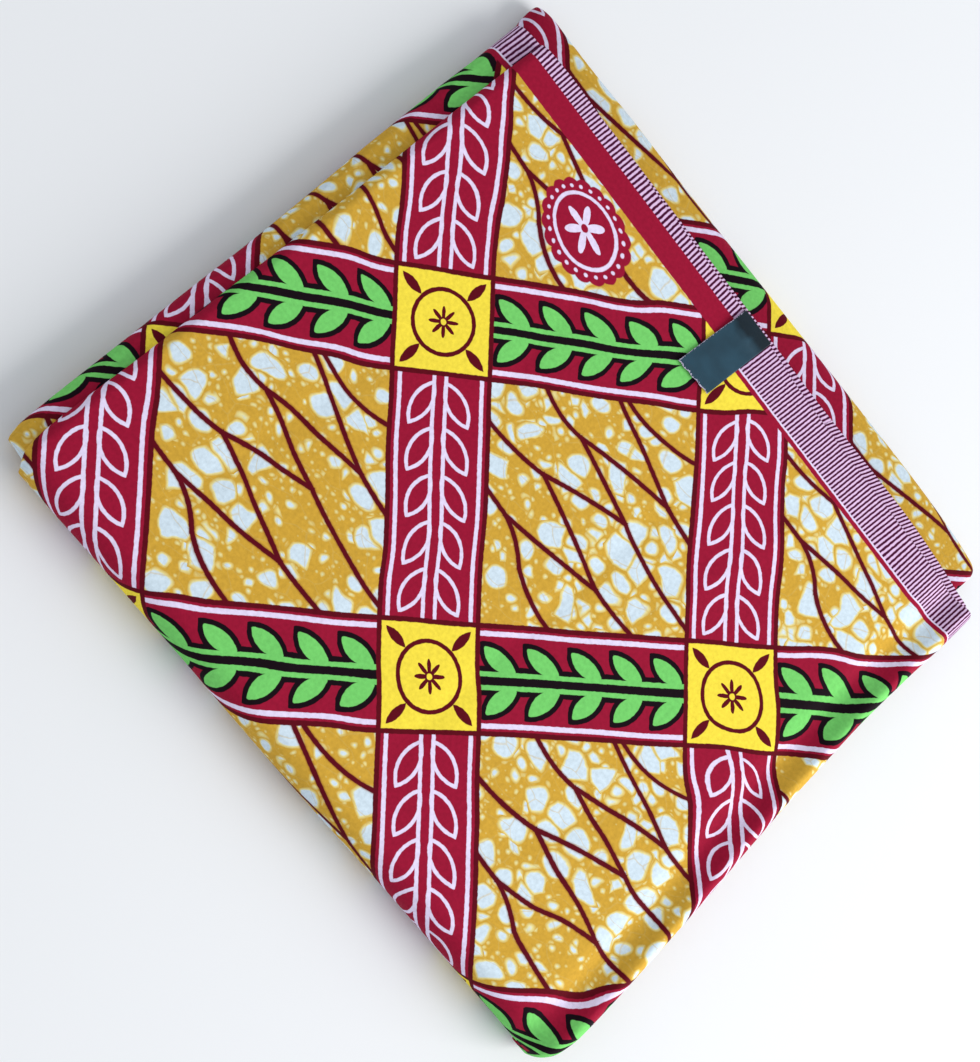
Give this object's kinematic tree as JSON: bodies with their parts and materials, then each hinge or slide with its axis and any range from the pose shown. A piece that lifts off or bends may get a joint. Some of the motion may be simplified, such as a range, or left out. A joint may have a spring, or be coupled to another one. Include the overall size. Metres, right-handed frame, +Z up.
{
  "type": "folded wax print cotton fabric",
  "caption": "Length of wax-print cotton cloth folded into a flat rectangular bundle, with a soft rolled edge, shaded fold plies, a striped selvedge and a small blank label.",
  "frame": {"origin": "under the middle of the bundle, on the surface it rests on", "axes": "+Z up, +X along the selvedge and the soft roll, +Y across the cloth towards the selvedge"},
  "size_m": [0.3564, 0.3245, 0.0266],
  "materials": {
    "printed_cloth": "matte plain-woven cotton with a crisp wax print",
    "printed_cloth_inner": "matte plain-woven cotton with a crisp wax print",
    "printed_cloth_lower": "matte plain-woven cotton with a crisp wax print",
    "ply_edges": "matte folded cotton plies",
    "label_satin": "smooth satin ribbon"
  },
  "bodies": {
    "root": {"top_fold": "printed_cloth", "second_fold": "printed_cloth_inner", "lower_fold": "printed_cloth_lower", "hidden_layers": "ply_edges", "label": "label_satin"}
  },
  "joints": []
}
